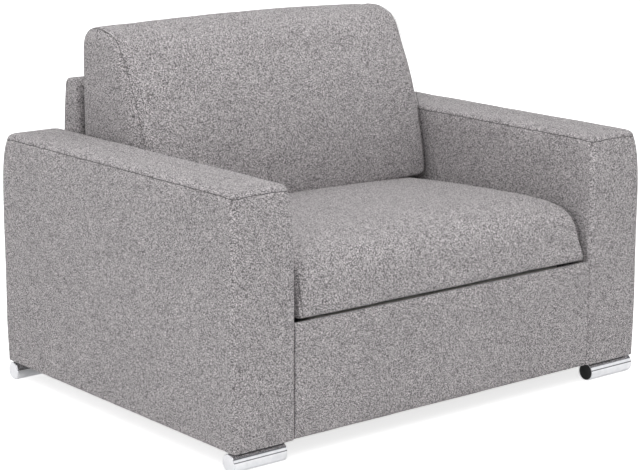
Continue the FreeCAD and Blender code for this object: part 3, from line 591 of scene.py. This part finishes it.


# Arms: box with soft upright edges, a sewn line all round at the top drawn near-black as painted seam shade,
# and a crowned top panel
def arm(tag, seed):
    (x0, x1), _, (foot, shoulder) = extent("arm_cover_" + tag)
    base = foot - 0.7
    seam = shoulder - 2.0
    steps = (9, 44)
    mid = (x0 + x1) / 2
    rows = [(base, 1.6), (base + 0.7, 0.6), (base + 4.0, 0.2), (base + 10.0, 0.0)]
    z = base + 30.0
    while z < seam - 60:
        rows.append((z, 0.0))
        z += 24.0
    below = [(46, 0.0), (32, 0.4), (20, 1.2), (11, 2.3), (5, 3.3), (2.2, 4.0), (0.9, 4.9), (0, 5.6)]
    above = [(0.9, 5.2), (2.4, 5.3), (4.8, 6.6), (7.4, 9.4), (9.8, 13.6), (11.8, 19.5), (13.2, 28.0),
             (14.3, 40.0), (15.0, 56.0), (15.4, 70.0), (15.5, 83.5)]
    rows += [(seam - drop, inset) for drop, inset in below]
    level = len(rows) - 1
    rows += [(seam + rise, inset) for rise, inset in above]
    verts = []
    for z, inset in rows:
        lift = min(1.0, (z - base) / 80.0, max(0.0, (seam - 8 - z) / 60.0)) if z < seam - 8 else 0.0
        near = min(1.0, max(0.0, (z - (seam - 150.0)) / 150.0))
        edge = max(1.0, 11.0 + 19.0 * near ** 2 - 0.7 * inset)
        for x, u, nx, nu in ring(x0 + inset, x1 - inset, inset, DEPTH - inset, edge, steps):
            size = math.hypot(nx, nu) or 1.0
            swell = ripple(x, u, z, seed, 1.6, 0.007) + ripple(x, u, z, seed + 9, 0.5, 0.03)
            if z < base + 5 or abs(z - seam) < 3:
                swell *= 0.3
            bow = 1.6 * lift
            if (x - mid) * (x0 + x1) < 0:
                bow *= 0.5
            out = (bow + swell * (0.8 if z < seam else 0.3)) * max(0.0, 1 - inset / 30.0)
            sag = 0.0
            if z > seam + 5:
                sag = ripple(x, u, 0, seed + 20, 1.2, 0.012) + ripple(x, u, 0, seed + 30, 0.4, 0.04)
            corner = math.hypot(min(x - x0, x1 - x), min(u, DEPTH - u))
            reach = max(0.0, 1 - (seam - z) / 60.0) if z < seam else max(0.0, 1 - (z - seam) / 10.0)
            sag -= 6.5 * math.exp(-(corner / 26.0) ** 2) * reach
            verts.append(at(x + nx / size * out, u + nu / size * out, z + sag))
    count = len(verts) // len(rows)
    path = [v.copy() for v in verts[level * count:(level + 1) * count]]
    whole = build("arm_upholstery_" + tag, verts, skin(len(rows), count, 1), cloth, "chair", 1)
    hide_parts("arm_cover_" + tag, "arm_top_" + tag)
    # Near-black bead along the top seam: a sewn line coloured as painted shade of the seam groove.
    tube("arm_seam_" + tag, path, BEAD, thread, "chair")
    carcass(tag, x0, x1, steps)


def carcass(tag, x0, x1, steps):
    """The board box inside an arm, with its corners eased to stay inside the cover."""
    verts = []
    levels = [(46.0, 10.0), (300.0, 10.0), (585.0, 10.0), (597.0, 14.0)]
    for z, inset in levels:
        for x, u, nx, nu in ring(x0 + inset, x1 - inset, inset, DEPTH - inset, 26.0, steps):
            verts.append(at(x, u, z))
    faces = skin(len(levels), len(verts) // len(levels), 2)
    inner = build("arm_carcass_" + tag, verts, faces, finishes["board"], "chair")
    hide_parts("arm_core_" + tag)


arm("r", 3.0)
arm("l", 8.0)


def slab(name, outline, half, roll, body, mat, seed, step, wave, bow):
    """A flat padded panel: its side outline swept across X with softly turned ends."""
    pts = [(u, z, roll, 0.5) for u, z in ease(outline, 2)]
    obj = pillow(name, pts, half, step, bow, body, mat, 0.5, seed, wave)
    return obj


def front_panel(half):
    _, (front, rear), (foot, top) = extent("front_panel")
    outline = [
        (front + 0.6, foot), (front + 0.6, 200.0), (front + 0.6, top - 6.0), (front + 3.0, top - 0.4),
        (front + 12.0, top), (rear - 0.5, top - 0.4), (rear - 0.2, 200.0), (rear - 0.2, foot),
        (front + 12.0, foot - 0.6),
    ]
    obj = slab("front_panel_cover", outline, half, 2.5, "chair", cloth, 5.0, step=9.0, wave=0.7,
               bow=0.8)
    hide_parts("front_panel")


def rear_panel(half):
    _, (front, rear), (foot, top) = extent("rear_panel_cover")
    face = front + 7.4
    outline = [
        (front + 39.0, foot - 0.2), (front + 9.0, foot - 0.2), (face - 0.2, foot + 1.0),
        (face - 0.2, foot + 14.0), (face, foot + 44.0), (face, 300.0), (face, 600.0),
        (front + 0.4, top - 20.0), (front + 3.0, top - 2.0), (front + 25.0, top), (rear - 20.0, top - 1.0),
        (rear - 14.0, top - 16.0), (rear - 0.4, top - 138.0), (rear, 300.0), (rear, foot + 44.0),
        (rear, foot + 14.0), (rear, foot + 1.0), (rear - 2.0, foot - 0.2),
    ]
    obj = slab("rear_panel_upholstery", outline, half, 7.0, "chair", cloth, 6.0, step=14.0,
               wave=1.0, bow=1.5)
    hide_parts("rear_panel_cover")


arm_inner = extent("arm_cover_r")[0][0]
front_panel(arm_inner - PANEL_GAP)
rear_panel(arm_inner - 0.2)


def settle(obj, pinned, seed):
    """Inflates a remeshed cover a little so that its fill pushes the cloth out, then smooths it once."""
    bpy.context.view_layer.objects.active = obj
    mesh = obj.data
    mesh.remesh_voxel_size = VOXEL
    mesh.remesh_voxel_adaptivity = 0.0
    with bpy.context.temp_override(object=obj, active_object=obj, selected_objects=[obj]):
        bpy.ops.object.voxel_remesh()
    mesh = obj.data
    rest = [v.co.copy() for v in mesh.vertices]
    group = obj.vertex_groups.new(name="held")
    held = [i for i, co in enumerate(rest) if pinned(co.x * 1000.0, co.y * 1000.0 + DEPTH / 2, co.z * 1000.0)]
    group.add(held, 1.0, "REPLACE")
    change = obj.modifiers.new("fill", "CLOTH")
    data = change.settings
    data.quality = 3
    data.mass = 0.4
    data.use_pressure = True
    data.uniform_pressure_force = PRESSURE
    data.tension_stiffness = 12.0
    data.compression_stiffness = 12.0
    data.shear_stiffness = 6.0
    data.bending_stiffness = 1.0
    data.vertex_group_mass = "held"
    data.effector_weights.gravity = 0.0
    change.collision_settings.use_collision = False
    change.point_cache.frame_start = 1
    change.point_cache.frame_end = 20
    for step in range(1, 21):
        scene.frame_set(step)
    graph = bpy.context.evaluated_depsgraph_get()
    made = [v.co.copy() for v in obj.evaluated_get(graph).data.vertices]
    obj.modifiers.clear()
    scene.frame_set(1)
    for i, (co, start) in enumerate(zip(made, rest)):
        move = co - start
        if move.length > PUFF / 1000.0:
            move *= PUFF / 1000.0 / move.length
        p = start * 20.0
        drift = [noise.noise(Vector((p.x, p.y, p.z + seed + k))) for k in range(3)]
        move += Vector(drift) * 0.0005
        mesh.vertices[i].co = start + move
    obj.vertex_groups.clear()
    fine = obj.modifiers.new("fine", "SUBSURF")
    fine.levels = 1
    fine.render_levels = 1
    graph = bpy.context.evaluated_depsgraph_get()
    done = bpy.data.meshes.new_from_object(obj.evaluated_get(graph))
    obj.modifiers.clear()
    obj.data = done
    for face in done.polygons:
        face.use_smooth = True
    done.materials.clear()
    done.materials.append(cloth)


for corner in ("fr", "fl", "rr", "rl"):
    disc("foot_disc_" + corner, "foot_cap_" + corner, "chair")


def hollow(obj, x0, x1, u0, u1, z0, z1):
    """Cuts a square-edged pocket out of a piece."""
    corners = [at(x, u, z) for x in (x0, x1) for u in (u0, u1) for z in (z0, z1)]
    faces = [(0, 1, 3, 2), (4, 6, 7, 5), (0, 4, 5, 1), (2, 3, 7, 6), (0, 2, 6, 4), (1, 5, 7, 3)]
    mesh = bpy.data.meshes.new("pocket")
    mesh.from_pydata(corners, [], faces)
    tool = bpy.data.objects.new("pocket", mesh)
    scene.collection.objects.link(tool)
    change = obj.modifiers.new("pocket", "BOOLEAN")
    change.operation = "DIFFERENCE"
    change.solver = "EXACT"
    change.object = tool
    graph = bpy.context.evaluated_depsgraph_get()
    made = bpy.data.meshes.new_from_object(obj.evaluated_get(graph))
    obj.modifiers.clear()
    obj.data = made
    bpy.data.objects.remove(tool)
    bpy.data.meshes.remove(mesh)


# Seat cushion and back block. Outline points are (u, z, edge radius at the ends, crown share)
def seat_cushion():
    _, (_, rear), (base, crest) = extent("seat_cushion")
    deck = extent("seat_deck")[2][1] + 0.5
    lip = base - 0.8
    outline = [
        (8.0, lip, 4, 0.0), (30.0, lip, 6, 0.0), (44.0, lip + 1.8, 8, 0.0), (47.0, lip + 16.8, 8, 0.0),
        (60.0, deck, 8, 0.0), (200.0, deck, 10, 0.0), (400.0, deck, 10, 0.0), (600.0, deck, 10, 0.0),
        (rear - 8.0, deck + 0.5, 12, 0.0), (rear, deck + 10.5, 14, 0.0), (rear, crest - 56.0, 18, 0.0),
        (rear - 6.0, crest - 43.0, 20, 0.1), (rear - 30.0, crest - 41.0, 34, 0.2),
        (600.0, crest - 40.0, 52, 0.55), (545.0, crest - 36.5, 56, 1.0), (480.0, crest - 29.5, 56, 1.0),
        (400.0, crest - 23.5, 54, 1.0), (300.0, crest - 19.0, 52, 1.0), (200.0, crest - 16.0, 42, 1.0),
        (130.0, crest - 15.0, 42, 1.0), (90.0, crest - 17.0, 42, 0.9), (58.0, crest - 23.0, 40, 0.7),
        (34.0, crest - 36.0, 36, 0.5), (17.0, crest - 56.0, 32, 0.35), (7.0, crest - 81.0, 28, 0.25),
        (3.0, crest - 111.0, 22, 0.15),
        (3.0, base + 21.0, 14, 0.1), (4.0, base + 5.0, 6, 0.0),
    ]
    edge = [tuple(p) for p in ease(outline, 2)]
    obj = pillow("seat_cushion_cover", edge, SEAT_HALF, 13.0, 16.0, "seat_section", cloth,
                 1.0, 11.0, 1.6)
    settle(obj, lambda x, u, z: z < deck + 3.5 or u > rear - 6.0 or u < 6.0 and z < lip + 16.8, 4.0)
    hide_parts("seat_cushion")
    return obj, edge


def back_block():
    """The back cushion with its cap and wings, hollow at the rear for the folded frame and its mattress."""
    _, (_, rear), (_, crest) = extent("back_cap")
    base = extent("back_cushion")[2][0]
    (pocket, _), (wing, _), (_, wing_top) = extent("back_wing_r")
    _, (flap, _), (flap_base, _) = extent("rear_flap")
    face = 573.0
    outline = [
        (face + 6.0, base + 1.0, 30, 0.0), (640.0, base + 0.5, 16, 0.0), (720.0, base + 0.5, 10, 0.0),
        (800.0, base + 0.5, 8, 0.0), (rear - 6.0, base + 1.0, 8, 0.0), (rear, base + 10.0, 8, 0.0),
        (rear, base + 110.0, 8, 0.0), (rear, base + 210.0, 8, 0.0), (rear, base + 320.0, 8, 0.0),
        (rear, crest - 63.0, 10, 0.2), (rear - 2.0, crest - 38.0, 14, 0.4),
        (rear - 10.0, crest - 21.0, 18, 0.7), (rear - 26.0, crest - 10.5, 22, 1.0),
        (rear - 52.0, crest - 6.5, 24, 1.0), (rear - 84.0, crest - 7.0, 26, 1.0),
        (rear - 110.0, crest - 12.5, 28, 1.0), (rear - 134.0, crest - 23.0, 31, 0.9),
        (rear - 153.0, crest - 38.0, 34, 0.8), (rear - 168.0, crest - 57.0, 37, 0.7),
        (face + 93.0, base + 350.0, 42, 0.8), (face + 77.0, base + 320.0, 42, 0.9),
        (face + 61.0, base + 288.0, 42, 1.0), (face + 47.0, base + 255.0, 42, 1.0),
        (face + 33.0, base + 215.0, 42, 1.0), (face + 21.0, base + 170.0, 42, 1.0),
        (face + 10.0, base + 120.0, 42, 1.0), (face + 3.0, base + 70.0, 40, 0.9),
        (face, base + 30.0, 36, 0.5), (face + 1.0, base + 10.0, 38, 0.2),
    ]
    edge = [tuple(p) for p in ease(outline, 2)]
    obj = pillow("back_cushion_cover", edge, BLOCK_HALF, 13.0, 8.0, "back_section", cloth,
                 4.0, 17.0, 1.6)
    settle(obj, lambda x, u, z: u > wing - 5.0 and z < crest - 33.0 or z < base + 10.0, 6.0)
    side = pocket - 1.0
    hollow(obj, -side, side, wing - 1.0, flap + 0.5, base - 20.0, wing_top + 1.0)
    hollow(obj, -side, side, flap - 16.0, rear + 28.0, base - 20.0, flap_base)
    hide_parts("back_cushion", "back_cap", "back_wing_r", "back_wing_l", "rear_flap")
    return obj, edge


def trim(name, obj, x, outline, keep, body, radius):
    """A sewn line lying on a stuffed piece where the plane at x cuts it, drawn near-black as painted seam
    shade.
    """
    tree = BVHTree.FromObject(obj, bpy.context.evaluated_depsgraph_get())
    path = []
    for p in resample(outline, 9.0):
        if keep(p[0], p[1]):
            spot = tree.find_nearest(at(x, p[0], p[1]))[0]
            path.append(Vector((x / 1000.0, spot.y, spot.z)))
    tube(name, path, radius, thread, body, closed=False)


seat, seat_edge = seat_cushion()
block, block_edge = back_block()
# Sewn lines on the back and seat, near-black as painted seam shade.
for tag, side in (("r", 1.0), ("l", -1.0)):
    trim("back_seam_" + tag, block, side * (BLOCK_HALF - 11.0), block_edge,
         lambda u, z: z > 446.0 and u < 846.0, "back_section", 0.55)
    trim("seat_seam_" + tag, seat, side * (SEAT_HALF - 8.0), seat_edge,
         lambda u, z: z > 345.0 and u < 560.0 or u < 6.0 and z > 322.0, "seat_section", 0.5)


# Mattress sections: quilted faces, a taped edge on each side and a plain border
def ticks(length, radius, step):
    """Places along one side of a box, close together at its ends."""
    near = [0.0, 0.15 * radius, 0.4 * radius, 0.7 * radius, radius]
    count = max(1, round((length - 2 * radius) / step))
    middle = [radius + (length - 2 * radius) * i / count for i in range(1, count)]
    return near + middle + [length - v for v in reversed(near)]


def quilt_dip(a, b, edge, seed):
    """How far the quilted face lies below its highest level, fading out towards the taped edge."""
    fade = min(1.0, max(0.0, (edge - 8.0) / 30.0))
    s1 = math.sin(math.pi * (a + b) / QUILT_PITCH)
    s2 = math.sin(math.pi * (a - b) / QUILT_PITCH)
    dip = QUILT_DEPTH * (1 - min(abs(s1), abs(s2)) ** 0.45) * fade
    return dip + 0.6 * noise.noise(Vector((a * 0.02, b * 0.02, seed)))


def mattress(name, node, thick_axis, body, seed):
    low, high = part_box(node)
    lo = [v * 1000.0 for v in low]
    size = [(b - a) * 1000.0 for a, b in zip(low, high)]
    radius = 13.0
    grids = [ticks(size[k], radius, 26.0 if k == thick_axis else 11.0) for k in range(3)]
    flat = [k for k in range(3) if k != thick_axis]
    verts = []
    faces = []
    for axis in range(3):
        other = [k for k in range(3) if k != axis]
        for end in (0.0, size[axis]):
            start = len(verts)
            for a in grids[other[0]]:
                for b in grids[other[1]]:
                    p = [0.0, 0.0, 0.0]
                    p[axis] = end
                    p[other[0]] = a
                    p[other[1]] = b
                    q = [min(max(v, radius), size[k] - radius) for k, v in enumerate(p)]
                    gap = Vector(p) - Vector(q)
                    r = Vector(q) + gap.normalized() * radius
                    if axis == thick_axis:
                        edge = min(min(r[k], size[k] - r[k]) for k in flat)
                        dip = quilt_dip(r[flat[0]], r[flat[1]], edge, seed)
                        r[axis] += -dip if end else dip
                    else:
                        level = (r[thick_axis] - radius) / (size[thick_axis] - 2 * radius)
                        bow = 1.2 * math.sin(math.pi * min(1.0, max(0.0, level)))
                        bow += 0.5 * noise.noise(Vector((r[0] * 0.012, r[1] * 0.012, r[2] * 0.012 + seed)))
                        r[axis] += (-bow if end == 0.0 else bow) * 0.5 - (0.6 if end else -0.6)
                    verts.append(Vector([(v + o) / 1000.0 for v, o in zip(r, lo)]))
            nb = len(grids[other[1]])
            for i in range(len(grids[other[0]]) - 1):
                for j in range(nb - 1):
                    faces.append((start + i * nb + j, start + (i + 1) * nb + j, start + (i + 1) * nb + j + 1,
                                  start + i * nb + j + 1))
    obj = build(name, verts, faces, ticking, body)
    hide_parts(node)
    for tag, level in (("a", 4.2), ("b", size[thick_axis] - 4.2)):
        path = []
        a, b = flat
        for x, u, nx, nu in ring(3.4, size[a] - 3.4, 3.4, size[b] - 3.4, radius - 3.4, (20, 20)):
            p = [0.0, 0.0, 0.0]
            p[a] = x
            p[b] = u
            p[thick_axis] = level
            path.append(Vector([(v + o) / 1000.0 for v, o in zip(p, lo)]))
        tube(name + "_tape_" + tag, path, TAPE_BEAD, tape, body, sides=8)


mattress("head_mattress_quilt", "head_mattress", 2, "head_section", 1.3)
mattress("seat_mattress_quilt", "seat_mattress", 2, "seat_section", 2.3)
mattress("back_mattress_quilt", "back_mattress", 1, "back_section", 3.3)


# Light, floor and background
def backdrop():
    world = bpy.data.worlds.new("studio")
    world.use_nodes = True
    scene.world = world
    nodes = world.node_tree.nodes
    links = world.node_tree.links
    base = nodes["Background"]
    base.inputs["Color"].default_value = (1.0, 1.0, 1.0, 1.0)
    base.inputs["Strength"].default_value = 0.72
    look = Tree(world.node_tree)
    rise = look.split(look.coords.outputs["Generated"])[2]
    shown = add(nodes, "ShaderNodeBackground")
    shown.inputs["Color"].default_value = (1.0, 1.0, 1.0, 1.0)
    shown.inputs["Strength"].default_value = 1.0
    path = add(nodes, "ShaderNodeLightPath")
    seen = add(nodes, "ShaderNodeMath", operation="MAXIMUM")
    links.new(path.outputs["Is Camera Ray"], seen.inputs[0])
    links.new(path.outputs["Is Glossy Ray"], seen.inputs[1])
    room = look.ramp(rise, [(0.0, (0.9, 0.9, 0.9)), (0.06, (0.16, 0.16, 0.17)), (0.16, (0.2, 0.2, 0.21)),
                            (0.22, (1.0, 1.0, 1.0)), (0.52, (0.95, 0.95, 0.96)), (0.60, (0.12, 0.12, 0.13)),
                            (0.85, (0.3, 0.3, 0.31))])
    links.new(look.tint(path.outputs["Is Glossy Ray"], (1.0, 1.0, 1.0, 1.0), room), shown.inputs["Color"])
    seen_all = add(nodes, "ShaderNodeMath", operation="MAXIMUM")
    links.new(seen.outputs[0], seen_all.inputs[0])
    links.new(path.outputs["Is Transmission Ray"], seen_all.inputs[1])
    mix = add(nodes, "ShaderNodeMixShader")
    links.new(seen_all.outputs[0], mix.inputs[0])
    links.new(base.outputs[0], mix.inputs[1])
    links.new(shown.outputs[0], mix.inputs[2])
    links.new(mix.outputs[0], nodes["World Output"].inputs["Surface"])


def overhead():
    key_data = bpy.data.lights.new("overhead", "AREA")
    key_data.shape = "RECTANGLE"
    key_data.size = 4.5
    key_data.size_y = 4.5
    key_data.energy = 108.0
    key = bpy.data.objects.new("overhead", key_data)
    scene.collection.objects.link(key)
    key.location = (-1.4, -1.3, 4.4)
    key.rotation_euler = (Vector((0.0, 0.1, 0.4)) - key.location).to_track_quat("-Z", "Y").to_euler()


def ground():
    mesh = bpy.data.meshes.new("floor")
    size = 14.0
    corners = [(-size, -size, 0), (size, -size, 0), (size, size, 0), (-size, size, 0)]
    mesh.from_pydata(corners, [], [(0, 1, 2, 3)])
    floor = bpy.data.objects.new("floor", mesh)
    scene.collection.objects.link(floor)
    m = Maker("floor_white")
    m.shader.inputs["Base Color"].default_value = (0.86, 0.86, 0.86, 1.0)
    m.shader.inputs["Roughness"].default_value = 0.9
    m.shader.inputs["Specular IOR Level"].default_value = 0.1
    glow = add(m.nodes, "ShaderNodeEmission")
    glow.inputs["Color"].default_value = (1.0, 1.0, 1.0, 1.0)
    light = add(m.nodes, "ShaderNodeLightPath")
    direct = m.math("MAXIMUM", light.outputs["Is Camera Ray"], light.outputs["Is Glossy Ray"])
    seen = m.math("MAXIMUM", direct, light.outputs["Is Transmission Ray"])
    m.links.new(m.blend(light.outputs["Is Glossy Ray"], 0.74, 0.2), glow.inputs["Strength"])
    dark = add(m.nodes, "ShaderNodeEmission")
    dark.inputs["Strength"].default_value = 0.0
    pick = add(m.nodes, "ShaderNodeMixShader")
    m.links.new(seen, pick.inputs[0])
    m.links.new(dark.outputs[0], pick.inputs[1])
    m.links.new(glow.outputs[0], pick.inputs[2])
    total = add(m.nodes, "ShaderNodeAddShader")
    m.links.new(m.shader.outputs[0], total.inputs[0])
    m.links.new(pick.outputs[0], total.inputs[1])
    m.links.new(total.outputs[0], m.nodes["Material Output"].inputs["Surface"])
    mesh.materials.append(m.mat)


backdrop()
overhead()
ground()
scene.view_settings.view_transform = "Standard"
